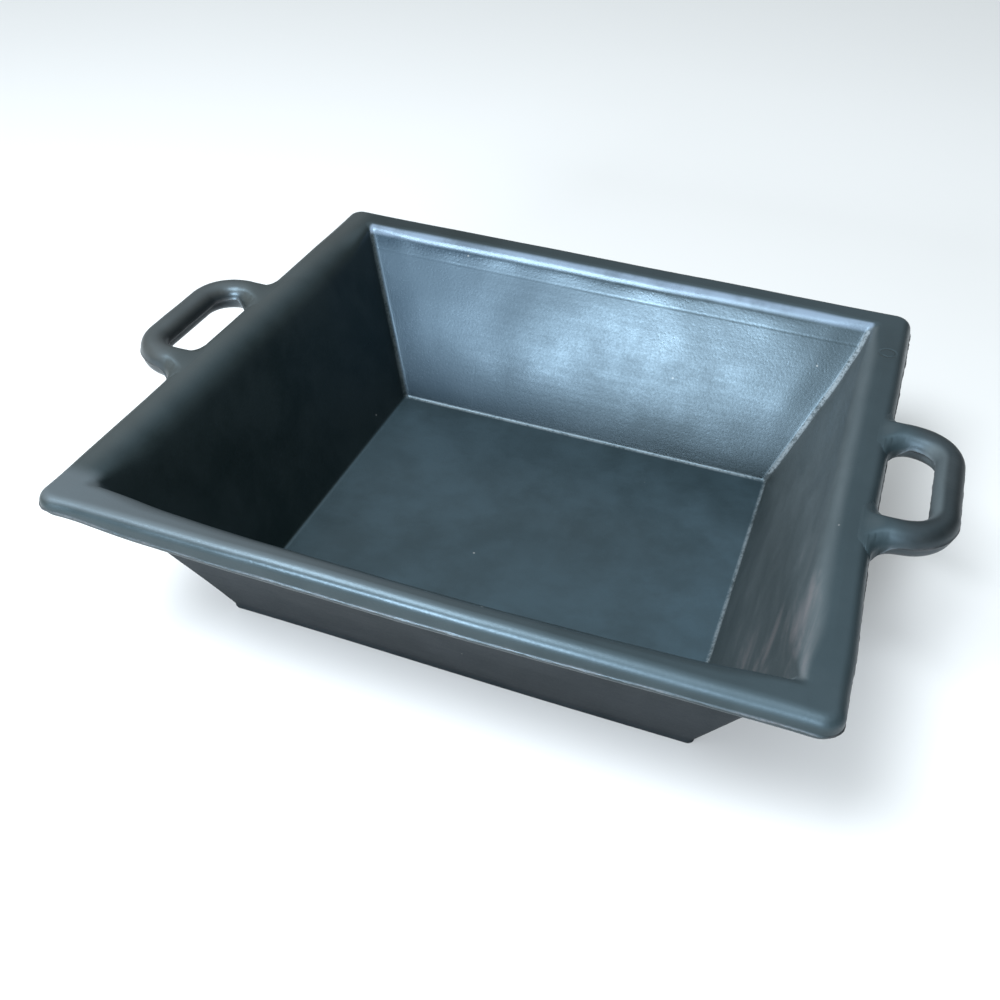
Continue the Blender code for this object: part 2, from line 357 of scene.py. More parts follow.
def wall_wave(co):
    """Shallow waves, always inwards from the drawn shape."""
    wave = noise.noise(Vector((co.x * 9, co.y * 9, co.z * 14)) + Vector((3.1, 0.4, 7.7)))
    wave += 0.5 * noise.noise(Vector((co.x * 23, co.y * 23, co.z * 30)))
    return WAVE * ease(co.z, 0.02, 0.06) * (min(wave, WAVE_CREST) - WAVE_CREST)


def settled(co, kind):
    """A point of the skin after the rubber has crept."""
    moved = co.copy()
    raised = WALL_CREEP_SHARE * ease(co.z, 0.115, seam)
    raised += (1 - WALL_CREEP_SHARE) * ease(co.z, seam, 0.178)
    moved.x -= SIDE_CREEP * ease(co.x, 0.10, 0.30) * ease(co.y, -0.28, -0.03) * raised
    if kind in SKIRT_KINDS:
        if co.y < -0.24:
            from_middle = min(abs(co.x - HANG_MIDDLE) / HANG_REACH, 1.0)
            hang = math.cos(from_middle * math.pi / 2) ** 2
            moved.z -= FLANGE_HANG * hang * skirt_share(co.z)
        corner_away = math.hypot(co.x + rim_x, co.y + rim_y)
        moved.z += CORNER_LIFT * skirt_share(co.z) * (1 - ease(corner_away, 0.02, 0.10))
    if co.y < 0:
        bow, drop = front_bow(co)
        moved.y -= bow
        moved.z -= drop
    if kind in ("outer", "foot"):
        near_left_corner = ease(-co.x, -0.12, 0.2) * ease(-co.y, 0.02, 0.18)
        moved.y += FOOT_DRAW * near_left_corner * (1 - ease(co.z, 0.02, 0.12))
    strength = wall_wave(co)
    lean = abs(co.x / rim_x) - abs(co.y / rim_y)
    if lean > 0:
        moved.x += strength * math.copysign(1, co.x) * ease(lean, 0.0, 0.12)
    else:
        moved.y += strength * math.copysign(1, co.y) * ease(-lean, 0.0, 0.12)
    if kind in ("land", "roll", "lip"):
        moved.z -= LAND_SAG * (0.5 + 0.5 * noise.noise(co * 11)) * ease(co.z, seam, rim_top)
    return moved


# %% [markdown]
# Flash tears unevenly when the tub leaves the mould: most of it is short, with a nib here and there. So each
# vertex on its edge is drawn back towards the rim's face by a share that comes from noise.


# %% Tear the flash
def ragged(vert):
    """Draw a vertex on the flash's edge back towards the rim's face."""
    x, y, z = vert.co
    torn = noise.noise(Vector((x * 95, y * 95, 2.0)))
    torn += 0.6 * noise.noise(Vector((x * 310, y * 310, 5.0)))
    nib = ease(noise.noise(Vector((x * 70, y * 70, 9.0))), 0.45, 0.6)
    keep = min(max(0.55 + 0.55 * torn + nib, 0.08), 1.0)
    pull = (FACE_INSET - crisp[vert[ring_layer]][1][0]) * (1 - keep)
    if abs(x / rim_x) > abs(y / rim_y):
        vert.co.x -= math.copysign(pull, x)
    else:
        vert.co.y -= math.copysign(pull, y)
    vert.co.z += 0.0005 * noise.noise(Vector((x * 14, y * 14, 1.0)))


# %% [markdown]
# Old mortar dust sits as a thin crust along the inner corners and the toes of the walls, more in some than in
# others. Along the back wall's toe the same pale colour is also a painted highlight, for the bright line that
# the light draws on the curve there. It is too thin to model, so a number layer remembers where it is, and
# the material reads that later.

# %% Crust, and a painted highlight at the back wall's toe
CORNER_CRUST = (1.0, 0.15, 0.1, 0.5)
# The back wall's toe share is partly dust and partly a painted highlight along the fillet there.
TOE_CRUST_AND_HIGHLIGHT = (0.6, 0.0, 0.0, 0.7)
TOE_RINGS = 6
CRUST_RUN_IN = 4
FIN_SHARES = {"edge": 1.0, "root": 0.55, "below": 0.2}


def crust_and_highlight_at(ring, index):
    """How much old mortar dust sits here, along the inside corners and the toe of each wall, with a painted
    highlight along the back wall's toe.
    """
    corner, share, along = stations[index]
    crust_and_highlight = 0.0
    if ring <= seam_rings[0] + CRUST_RUN_IN and along is None:
        crust_and_highlight = CORNER_CRUST[corner] * math.sin(math.pi * share) * ease(ring, 0, CRUST_RUN_IN)
    if ring <= TOE_RINGS:
        side = corner if along is not None or share > 0.5 else (corner - 1) % 4
        crust_and_highlight = max(crust_and_highlight, TOE_CRUST_AND_HIGHLIGHT[side] * math.sin(math.pi * ring / TOE_RINGS))
    return crust_and_highlight


# %% [markdown]
# All of this is applied to every vertex in one pass: first the flash, then the number layers, then the
# settling. The faces are turned outwards at the end.

# %% Apply the moves
for vert in skin.verts:
    kind = kinds[vert[ring_layer]]
    if kind == "fin":
        inset = crisp[vert[ring_layer]][1][0]
        if inset < FACE_INSET:
            ragged(vert)
        vert[fin_layer] = FIN_SHARES["edge" if inset < FACE_INSET else "root"]
    elif kind in ("lower", "under"):
        vert[fin_layer] = FIN_SHARES["below"]
    vert[crust_and_highlight_layer] = crust_and_highlight_at(vert[ring_layer], vert[station_layer])
    vert.co = settled(vert.co, kind)
bmesh.ops.recalc_face_normals(skin, faces=skin.faces)
outside = max(skin.verts, key=lambda vert: vert.co.x)
if outside.normal.x < 0:
    bmesh.ops.reverse_faces(skin, faces=skin.faces)
skin.normal_update()
print("skin spans", round(min(v.co.x for v in skin.verts), 4), round(max(v.co.x for v in skin.verts), 4))

# %% [markdown]
# ## Divide the skin into its blanks
#
# The real moulding is laid up from separate blanks: a floor, four walls and four rim strips. Each finished
# piece is a copy of the skin with everything else deleted, closed by bridging its long edges and filling
# its mitred ends. The cut faces meet their neighbours exactly. The whole skin's normals are kept on the
# visible faces, so the light runs over a join as it does on cured rubber.

# %% Cut pieces from the skin
normal_layers = [skin.verts.layers.float.new("normal_" + axis) for axis in "xyz"]
visible_layer = skin.faces.layers.int.new("visible")
for vert in skin.verts:
    for layer, value in zip(normal_layers, vert.normal):
        vert[layer] = value
for face in skin.faces:
    face[visible_layer] = 1
SIDES = ("back", "left", "front", "right")
OUTSIDE_KINDS = ("under", "cove", "outer", "foot")


def face_place(face, rings, station_ids):
    """The lower ring and the lower station of a quad, with the wrap past the last station put right."""
    row = min(vert[rings] for vert in face.verts)
    places = [vert[station_ids] for vert in face.verts]
    low = min(places)
    if low == 0 and max(places) == STATIONS - 1:
        low = STATIONS - 1
    return row, low


def side_of(station):
    """Which side's piece a station belongs to, from one mitre to the next."""
    for side in range(3):
        if mitre[side] <= station < mitre[side + 1]:
            return side
    return 3


def open_edges(bm):
    return [edge for edge in bm.edges if edge.is_boundary]


def hide_new(made, layer):
    """Mark faces that no one sees, so that they keep flat normals of their own."""
    for face in made:
        face[layer] = 0


def close_strip(bm, ring_pairs):
    """Bridge the long edges of a strip and fill its two mitred ends."""
    rings = bm.verts.layers.int["ring"]
    visible = bm.faces.layers.int["visible"]
    for first, second in ring_pairs:
        long_edges = ({first}, {second})
        chains = [e for e in open_edges(bm) if {v[rings] for v in e.verts} in long_edges]
        made = bmesh.ops.bridge_loops(bm, edges=chains)["faces"]
        hide_new(made, visible)
    made = bmesh.ops.holes_fill(bm, edges=open_edges(bm), sides=0)["faces"]
    hide_new(made, visible)


# %% [markdown]
# A cutting becomes an object with two finishes: the outside rubber under the flange and down the walls, and
# the tub rubber everywhere else. The helper layers are removed, and the flash layer and the layer of crust
# and painted toe highlight stay.


# %% Finish a cutting
def finish_skin_piece(bm, name):
    """Turn a closed cutting into an object that keeps the whole skin's normals on its visible faces."""
    bm.normal_update()
    layers = [bm.verts.layers.float["normal_" + axis] for axis in "xyz"]
    visible = bm.faces.layers.int["visible"]
    normals = []
    for face in bm.faces:
        face.smooth = True
        for vert in face.verts:
            if face[visible]:
                normals.append(tuple(vert[layer] for layer in layers))
            else:
                normals.append(tuple(face.normal))
    rings = bm.verts.layers.int["ring"]
    for face in bm.faces:
        lowest = min(vert[rings] for vert in face.verts)
        face.material_index = 1 if kinds[lowest] in OUTSIDE_KINDS else 0
    for layer_name in ("normal_x", "normal_y", "normal_z"):
        bm.verts.layers.float.remove(bm.verts.layers.float[layer_name])
    bm.verts.layers.int.remove(bm.verts.layers.int["ring"])
    bm.verts.layers.int.remove(bm.verts.layers.int["station"])
    bm.faces.layers.int.remove(bm.faces.layers.int["visible"])
    mesh = bpy.data.meshes.new(name)
    bm.to_mesh(mesh)
    bm.free()
    mesh.normals_split_custom_set(normals)
    mesh.materials.append(tub_rubber)
    mesh.materials.append(outside_rubber)
    piece = bpy.data.objects.new(name, mesh)
    bpy.context.scene.collection.objects.link(piece)
    return piece


def cut_from_skin(side, bands, ring_pairs):
    """A closed copy of one side's part of the skin, for the given bands of rings."""
    bm = skin.copy()
    rings = bm.verts.layers.int["ring"]
    station_ids = bm.verts.layers.int["station"]
    spare = []
    for face in bm.faces:
        row, low = face_place(face, rings, station_ids)
        if side_of(low) != side or not any(first <= row < last for first, last in bands):
            spare.append(face)
    bmesh.ops.delete(bm, geom=spare, context="FACES")
    close_strip(bm, ring_pairs)
    return bm


# %% [markdown]
# ## Materials: shared node helpers
#
# A material is a small graph of nodes. These helpers add a node, set its sockets and link them, so that
# each material below reads as a recipe.


# %% Node helpers
class Graph:
    """A material's nodes, added and linked in one call each."""

    def __init__(self, name):
        self.material = bpy.data.materials.new(name)
        self.material.use_nodes = True
        self.tree = self.material.node_tree
        self.shader = self.tree.nodes["Principled BSDF"]
        self.object = self.add("ShaderNodeTexCoord").outputs["Object"]

    def add(self, kind, settings=None, **sockets):
        node = self.tree.nodes.new(kind)
        for key, value in (settings or {}).items():
            setattr(node, key, value)
        for key, value in sockets.items():
            self.feed(node.inputs[key.replace("_", " ")], value)
        return node

    def feed(self, socket, value):
        if isinstance(value, bpy.types.NodeSocket):
            self.tree.links.new(value, socket)
        else:
            socket.default_value = value

    def stretched(self, scale, offset=(0.0, 0.0, 0.0)):
        node = self.add("ShaderNodeMapping", Vector=self.object, Scale=scale, Location=offset)
        return node.outputs["Vector"]

    def noise(self, vector, scale, detail=2.0, roughness=0.5, distortion=0.0):
        node = self.add("ShaderNodeTexNoise", Vector=vector, Scale=scale, Detail=detail)
        node.inputs["Roughness"].default_value = roughness
        node.inputs["Distortion"].default_value = distortion
        return node.outputs["Fac"]

    def math(self, operation, first, second=0.0, clamp=False):
        node = self.add("ShaderNodeMath", {"operation": operation, "use_clamp": clamp})
        self.feed(node.inputs[0], first)
        self.feed(node.inputs[1], second)
        return node.outputs[0]

    def product(self, first, *others):
        for other in others:
            first = self.math("MULTIPLY", first, other)
        return first

    def span(self, value, low, high, to_low=0.0, to_high=1.0):
        """Remap a value smoothly and clamp it."""
        node = self.add("ShaderNodeMapRange", {"interpolation_type": "SMOOTHSTEP"}, Value=value)
        for key, number in zip(("From Min", "From Max", "To Min", "To Max"), (low, high, to_low, to_high)):
            node.inputs[key].default_value = number
        return node.outputs["Result"]

    def mix(self, share, first, second):
        node = self.add("ShaderNodeMix", {"data_type": "RGBA"})
        self.feed(node.inputs["Factor"], share)
        for socket, value in ((node.inputs[6], first), (node.inputs[7], second)):
            self.feed(socket, value if isinstance(value, bpy.types.NodeSocket) else (*value, 1.0))
        return node.outputs[2]

    def bump(self, height, distance, strength=1.0, onto=None):
        node = self.add("ShaderNodeBump", Height=height, Distance=distance, Strength=strength)
        if onto is not None:
            self.feed(node.inputs["Normal"], onto)
        return node.outputs["Normal"]

    def separate(self, vector):
        node = self.add("ShaderNodeSeparateXYZ", Vector=vector)
        return node.outputs["X"], node.outputs["Y"], node.outputs["Z"]


# %% [markdown]
# ## Rubber
#
# Moulded rubber is dark, but it is never plain black. It has broad cloudy patches where a waxy bloom has
# come to the surface, fine pits like orange peel where air was caught against the mould, faint level lines
# left by the tool that cut the mould, and dust that stays in corners and on rough patches. A painted image
# would need a flat layout of the tub, and would blur close up. Patterns on object coordinates need neither,
# and they run on across the joins. First come the noises and places that the colour, gloss and relief
# share.


# %% Patterns and places on the rubber
def rubber_patterns(graph):
    """Noises, coordinates, directions and regions, kept together under short names."""
    at = SimpleNamespace()
    at.x, at.y, at.z = graph.separate(graph.object)
    at.patches = graph.noise(graph.object, 7.5, 5.0, 0.62, 0.4)
    at.clouds = graph.noise(graph.object, 31.0, 6.0, 0.6)
    at.level_lines = graph.noise(graph.stretched((5.0, 5.0, 210.0)), 1.0, 4.0, 0.6)
    at.grain = graph.noise(graph.object, 420.0, 3.0, 0.6)
    at.peel = graph.noise(graph.object, 950.0, 2.0, 0.5)
    at.smears = graph.noise(graph.stretched((30.0, 9.0, 42.0)), 1.0, 5.0, 0.6, 0.5)
    at.mottle = graph.product(at.grain, at.clouds)
    geometry = graph.add("ShaderNodeNewGeometry")
    at.facing_x, at.facing_y, at.facing_z = graph.separate(geometry.outputs["Normal"])
    at.level = graph.span(at.facing_z, 0.75, 0.97)
    at.handle = graph.span(graph.math("ABSOLUTE", at.x), 0.322, 0.35)
    at.on_rim = graph.span(at.z, 0.150, 0.168)
    at.far_side = graph.span(at.y, 0.17, 0.2)
    at.right_wall = graph.product(graph.span(at.x, 0.19, 0.24), graph.span(at.facing_x, -0.15, -0.6))
    return at


# %% [markdown]
# The colour starts with bare rubber and its bloom. Bloom makes rubber greyer and duller; bare rubber is
# darker and shinier. The handles are a little paler, from being held.

# %% Bare rubber and bloom
HANDLE_BARE = (0.008, 0.010, 0.010)
HANDLE_BLOOM = (0.021, 0.023, 0.023)


def bloomed(graph, at, bare, bloom):
    clouded = graph.math("ADD", at.patches, graph.math("MULTIPLY", at.clouds, 0.5))
    bloom_share = graph.span(clouded, 0.55, 0.95)
    color = graph.mix(bloom_share, bare, bloom)
    color = graph.mix(graph.span(at.mottle, 0.2, 0.42, 0.0, 0.35), color, bloom)
    held = graph.mix(bloom_share, HANDLE_BARE, HANDLE_BLOOM)
    return graph.mix(at.handle, color, held)


# %% [markdown]
# A thin film of dried cement water lies wherever the tub was wet: on the floor, on the flat lands of the
# rim and on the wall that gets splashed. Each film is a share, built as a product of soft limits in place
# and in direction, and a colour. Some shares are painted light: the floor's film and the lands' colour grow
# paler towards the right as a painted reflection of a brighter sky, the back wall's bluish film also paints
# in its sheen, and the back lip gets a pale painted highlight. The outside of the walls has none of these, so
# its rubber leaves them out.

# %% Films and painted reflections
# The floor's colour is a film and, towards the right, a painted reflection; the lands' colour is a painted
# reflection; the back wall's colour is a film and painted sheen; the lip's colour is a painted highlight.
FLOOR_FILM_AND_REFLECTION = (0.030, 0.052, 0.066)
LEFT_FILM = (0.070, 0.070, 0.064)
LAND_PAINTED_REFLECTION = (0.036, 0.055, 0.066)
FRONT_FILM = (0.062, 0.070, 0.074)
BACK_FILM_AND_SHEEN = (0.028, 0.052, 0.085)
PAINTED_LIP_HIGHLIGHT = (0.16, 0.205, 0.265)


def lay_floor_film_and_reflection(graph, at):
    """The share of the film on the tub's floor; its growth towards the right is a painted reflection of a
    brighter sky.
    """
    share = graph.product(at.level, graph.span(at.z, 0.05, 0.02))
    share = graph.product(share, graph.span(at.patches, 0.3, 0.7, 0.28, 0.5))
    share = graph.product(share, graph.span(at.clouds, 0.35, 0.65, 0.86, 1.14))
    return graph.product(share, graph.span(at.x, 0.0, 0.2, 1.0, 1.5))


def lay_left_film(graph, at):
    outer_left = graph.span(at.x, -0.290, -0.312, 0.0, 0.34)
    share = graph.product(graph.span(at.z, 0.166, 0.175), outer_left)
    return graph.product(share, graph.span(at.y, -0.29, -0.2, 0.5, 1.0), graph.span(at.facing_z, 0.1, 0.7))


# Painted reflection: a bluish colour on the rim's lands, none at the left end and most at the right, standing
# in for the brighter sky reflected there.
def paint_land_reflection(graph, at):
    share = graph.product(graph.span(at.z, 0.168, 0.176), graph.span(at.x, -0.28, 0.3, 0.0, 0.30))
    return graph.product(share, graph.math("SUBTRACT", 1.0, at.handle))


def lay_front_film(graph, at):
    share = graph.product(graph.span(at.z, 0.165, 0.172), graph.span(at.y, -0.245, -0.265))
    return graph.product(share, graph.span(at.x, 0.2, -0.25, 0.05, 0.8), graph.span(at.facing_z, 0.5, 0.9))


# Partly a bluish film and partly painted sheen: it makes the back wall's left part paler and bluer, as its
# reflection of the sky would.
def lay_back_film_and_sheen(graph, at):
    share = graph.product(at.far_side, graph.span(at.facing_y, -0.6, -0.85))
    return graph.product(share, graph.span(at.x, 0.15, -0.2, 0.0, 0.4))


# Painted highlight: a pale bluish band along the back lip's inner curve, where the light would glint.
def paint_back_lip_highlight(graph, at):
    share = graph.product(graph.span(at.y, 0.236, 0.25), graph.span(at.facing_y, -0.22, -0.48))
    share = graph.product(share, graph.span(at.z, 0.1695, 0.1745))
    return graph.product(share, graph.span(at.clouds, 0.3, 0.6, 0.45, 0.85))


# %% [markdown]
# Over the films comes the dirt: dust and smears of dried mortar on the right wall, the crust in the
# corners, which along the back wall's toe is also a painted highlight, the pale torn flash and a few specks.
# The crust and the flash follow the number layers of the skin.

# %% Dirt, and a painted highlight at the back wall's toe
WALL_DUST = (0.062, 0.073, 0.076)
MORTAR = (0.15, 0.125, 0.125)
# Pale crust colour, which along the back wall's toe is also a painted highlight.
CRUST_AND_HIGHLIGHT = (0.17, 0.195, 0.21)
FLASH = (0.066, 0.060, 0.060)
SPECK = (0.22, 0.22, 0.21)


def dust_right_wall(graph, at):
    return graph.product(at.right_wall, graph.span(at.smears, 0.30, 0.72, 0.6, 0.9))


def dirtied_and_highlit(graph, at, color):
    near_end = graph.product(at.right_wall, graph.span(at.y, -0.02, -0.2))
    mortar = graph.product(near_end, graph.span(at.smears, 0.5, 0.72, 0.0, 0.45))
    color = graph.mix(mortar, color, MORTAR)

    # Crust in the corners, and a painted highlight along the back wall's toe.
    crust_and_highlight = graph.add("ShaderNodeAttribute", {"attribute_name": "crust_and_highlight"}).outputs["Fac"]
    crust_and_highlight = graph.product(crust_and_highlight, graph.span(at.mottle, 0.16, 0.29, 0.12, 1.0))
    color = graph.mix(crust_and_highlight, color, CRUST_AND_HIGHLIGHT)

    flash = graph.add("ShaderNodeAttribute", {"attribute_name": "flash"}).outputs["Fac"]
    torn = graph.product(flash, graph.span(at.clouds, 0.38, 0.62, 0.25, 1.0))
    color = graph.mix(graph.product(torn, graph.span(at.grain, 0.3, 0.6, 0.3, 0.85)), color, FLASH)

    spots = graph.add("ShaderNodeTexVoronoi", Vector=graph.object, Scale=55.0)
    rare = graph.span(graph.separate(spots.outputs["Color"])[0], 0.955, 0.965)
    dot = graph.span(spots.outputs["Distance"], 0.075, 0.05)
    return graph.mix(graph.product(rare, dot, 0.7), color, SPECK)


# %% [markdown]
# Gloss tells more about rubber than colour does. Bloom and dust dull it; the front roll is polished by
# hands and by being dragged, and two places on the back wall are rubbed smooth by the hoe.

# %% Gloss
RUBBED = (((0.028, -0.23, -0.142), 0.11), ((-0.075, -0.24, -0.170), 0.10))


def rubber_gloss(graph, at, roughness, dust, back_film_and_sheen=None):
    """Roughness over the surface, about a middle value."""
    terms = [
        graph.math("MULTIPLY", graph.math("SUBTRACT", at.patches, 0.5), 0.3),
        graph.math("MULTIPLY", graph.math("SUBTRACT", at.level_lines, 0.5), 0.08),
        graph.math("MULTIPLY", dust, 0.15),
        graph.product(at.on_rim, graph.span(at.y, 0.22, 0.16, 0.0, 0.12)),
        graph.math("MULTIPLY", graph.math("SUBTRACT", at.grain, 0.5), 0.14),
    ]
    if back_film_and_sheen is not None:
        terms.append(graph.math("MULTIPLY", back_film_and_sheen, 0.12))
    dullness = terms[0]
    for term in terms[1:]:
        dullness = graph.math("ADD", dullness, term)
    front_roll = graph.product(at.on_rim, graph.span(at.facing_y, -0.2, -0.45))
    polished = graph.product(front_roll, graph.span(at.x, 0.16, 0.04, 0.0, 0.13))
    dullness = graph.math("SUBTRACT", dullness, polished)
    for offset, reach in RUBBED:
        near = graph.stretched((1.0, 1.0, 1.35), offset)
        away = graph.add("ShaderNodeVectorMath", {"operation": "LENGTH"}, Vector=near).outputs["Value"]
        soft_edge = graph.math("ADD", away, graph.math("MULTIPLY", at.clouds, 0.06))
        dullness = graph.math("SUBTRACT", dullness, graph.span(soft_edge, reach, 0.02, 0.0, 0.09))
    return graph.math("ADD", dullness, roughness, clamp=True)


# %% [markdown]
# The relief is a chain of bumps, from broad to fine: a slow swell, the level lines, a crease below the back
# lip, a shallow ring on the right end of the rim, pits and grain. Each takes the one before as its normal.

# %% Relief
CREASE_HEIGHT = 0.157
MARK_OFFSET = (-0.3005, -0.2107, 0.0)
MARK_RADIUS = 0.0078


def rubber_relief(graph, at):
    normal = graph.bump(graph.noise(graph.object, 10.0, 1.0, 0.4), 0.004, 0.5)
    normal = graph.bump(graph.math("MULTIPLY", at.level_lines, 0.22), 0.00022, 0.6, normal)
    from_crease = graph.math("ABSOLUTE", graph.math("SUBTRACT", at.z, CREASE_HEIGHT))
    on_back = graph.product(at.far_side, graph.span(at.facing_y, -0.5, -0.8))
    crease = graph.product(on_back, graph.span(from_crease, 0.0022, 0.0))
    normal = graph.bump(crease, -0.00018, 0.4, normal)
    plan = graph.stretched((1.0, 1.0, 0.0), MARK_OFFSET)
    from_mark = graph.add("ShaderNodeVectorMath", {"operation": "LENGTH"}, Vector=plan).outputs["Value"]
    from_ring = graph.math("ABSOLUTE", graph.math("SUBTRACT", from_mark, MARK_RADIUS))
    normal = graph.bump(graph.product(at.level, graph.span(from_ring, 0.0022, 0.0004)), -0.0006, 0.8, normal)
    pits = graph.add("ShaderNodeTexVoronoi", {"feature": "SMOOTH_F1"}, Vector=graph.object, Scale=300.0)
    normal = graph.bump(graph.span(pits.outputs["Distance"], 0.1, 0.45), 0.00006, 0.4, normal)
    fine = graph.math("ADD", at.grain, graph.math("MULTIPLY", at.peel, 0.5))
    return graph.bump(fine, 0.0001, 0.5, normal)


# %% [markdown]
# Now the recipe is put together three times: for the tub's inside and rim, for the outside of its walls,
# which was never polished by use, and for the handles.


# %% Three rubbers
def rubber_material(name, bare, bloom, roughness, specular, filmed_and_painted):
    graph = Graph(name)
    at = rubber_patterns(graph)
    floor_film_and_reflection = lay_floor_film_and_reflection(graph, at)
    wall_dust = dust_right_wall(graph, at)
    back_film_and_sheen = lay_back_film_and_sheen(graph, at) if filmed_and_painted else None
    layers = [(floor_film_and_reflection, FLOOR_FILM_AND_REFLECTION), (lay_left_film(graph, at), LEFT_FILM)]
    # With the films come the lands' painted reflection, the back wall's painted sheen and the back lip's
    # painted highlight.
    if filmed_and_painted:
        layers.append((paint_land_reflection(graph, at), LAND_PAINTED_REFLECTION))
        layers.append((lay_front_film(graph, at), FRONT_FILM))
        layers.append((back_film_and_sheen, BACK_FILM_AND_SHEEN))
        layers.append((paint_back_lip_highlight(graph, at), PAINTED_LIP_HIGHLIGHT))
    layers.append((wall_dust, WALL_DUST))
    color = bloomed(graph, at, bare, bloom)
    for share, coat in layers:
        color = graph.mix(share, color, coat)
    graph.feed(graph.shader.inputs["Base Color"], dirtied_and_highlit(graph, at, color))
    dust = graph.math("MAXIMUM", wall_dust, floor_film_and_reflection)
    gloss = rubber_gloss(graph, at, roughness, dust, back_film_and_sheen)
    graph.feed(graph.shader.inputs["Roughness"], gloss)
    graph.feed(graph.shader.inputs["Normal"], rubber_relief(graph, at))
    graph.shader.inputs["Specular IOR Level"].default_value = specular
    # The blue specular tint paints the blue of a sky into the rubber's reflections; clean rubber reflects
    # light uncoloured.
    graph.shader.inputs["Specular Tint"].default_value = (0.62, 0.84, 1.0, 1.0)
    print(name, len(graph.tree.nodes), "nodes")
    return graph.material


TUB_BARE, TUB_BLOOM = (0.004, 0.0072, 0.0062), (0.009, 0.0135, 0.0130)
OUTSIDE_BARE, OUTSIDE_BLOOM = (0.0055, 0.007, 0.0078), (0.0125, 0.0142, 0.0155)
tub_rubber = rubber_material("tub_rubber_moulded", TUB_BARE, TUB_BLOOM, 0.36, 0.6, filmed_and_painted=True)
outside_rubber = rubber_material("tub_rubber_outside", OUTSIDE_BARE, OUTSIDE_BLOOM, 0.62, 0.22, filmed_and_painted=False)
handle_rubber = rubber_material("handle_rubber_moulded", TUB_BARE, TUB_BLOOM, 0.38, 0.6, filmed_and_painted=True)

# %% [markdown]
# ## The nine blanks
#
# Now the four rim strips and the four walls are cut from the skin. A rim strip is one band of rings, and a
# wall is two: its inner face and its outer face.

# %% Make the rims and walls
last_ring = len(crisp) - 1
inner_seam, outer_seam = seam_rings
for side, side_name in enumerate(SIDES):
    rim_bm = cut_from_skin(side, [(inner_seam, outer_seam)], [(inner_seam, outer_seam)])
    rim = finish_skin_piece(rim_bm, side_name + "_rim_strip")
    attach(rim, "root")
    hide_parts(side_name + "_rim")
    wall_bands = [(0, inner_seam), (outer_seam, last_ring)]
    wall_bm = cut_from_skin(side, wall_bands, [(inner_seam, outer_seam), (0, last_ring)])
    wall = finish_skin_piece(wall_bm, side_name + "_wall_blank")
    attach(wall, "root")
    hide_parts(side_name + "_wall")
    print(side_name, len(rim.data.polygons), "rim faces", len(wall.data.polygons), "wall faces")

# %% [markdown]
# The floor is a plate inside the walls' toes. The skin's first ring is its outline, so it starts as a copy of
# that ring alone, which gets a face, and the face is extruded down to the ground.

# %% Make the floor
floor_bm = skin.copy()
rings = floor_bm.verts.layers.int["ring"]
spare = [vert for vert in floor_bm.verts if vert[rings] > 0]
bmesh.ops.delete(floor_bm, geom=spare, context="VERTS")
visible = floor_bm.faces.layers.int["visible"]
top = bmesh.ops.contextual_create(floor_bm, geom=floor_bm.edges[:])["faces"]
lowered = bmesh.ops.extrude_face_region(floor_bm, geom=top)["geom"]
for vert in lowered:
    if isinstance(vert, bmesh.types.BMVert):
        vert.co.z = 0.0
print("floor open edges", len(open_edges(floor_bm)), "faces", len(floor_bm.faces))
bmesh.ops.recalc_face_normals(floor_bm, faces=floor_bm.faces)
hide_new(floor_bm.faces, visible)
floor = finish_skin_piece(floor_bm, "floor_blank")
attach(floor, "root")
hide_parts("floor")
print("floor", len(floor.data.polygons), "faces", [round(v, 4) for v in floor.dimensions])

# %% [markdown]
# ## Handles
#
# Each handle is a loop that leaves the rim, turns twice and comes back. Its upper half is plump, for the
# palm, and its lower half is a little narrower, with a line of flash between them. At its roots it spreads
# sideways in a hollow curve and sinks into the rim, because a sharp root would tear. The loop is one ring
# of vertices, extruded from root to root.

# %% The handle's path
handle_low, handle_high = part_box("right_handle")
REACH = handle_high.x - 0.0016
CROWN = handle_high.z
BELLY = handle_low.z
HALF_SPAN = 0.072
LEG_HALF = 0.0138
BAR_HALF = 0.0123
BEND = 0.034
ROOT_END = rim_x - 0.021
ROOT_FLARE = 0.022
DIP_END = rim_x + 0.016
DIP_BELOW_RIM = 0.0008
ROOT_STEPS = 46
BEND_STEPS = 22
BAR_STEPS = 12


def rim_face_inset(height):
    """The inset of the rim's outer face at a height, without its flash."""
    if height > rim_top - ROLL[1]:
        rise = min((height - rim_top + ROLL[1]) / ROLL[1], 1.0)
        return FACE_INSET + ROLL[0] * (1 - math.sqrt(1 - rise * rise))
    if height > PARTING:
        return FACE_INSET
    fall = max(UNDER + LOWER_RADIUS - height, 0.0) / LOWER_RADIUS
    return LOWER_STEP + LOWER_RADIUS * (1 - math.sqrt(1 - min(fall, 1.0) ** 2))


def leg_top(x):
    """The crown's height along a leg: level near the bar, dipping to meet the roll at the root."""
    away = ease(x, ROOT_END, DIP_END)
    dip = rim_top - DIP_BELOW_RIM
    return dip + (CROWN - dip) * away


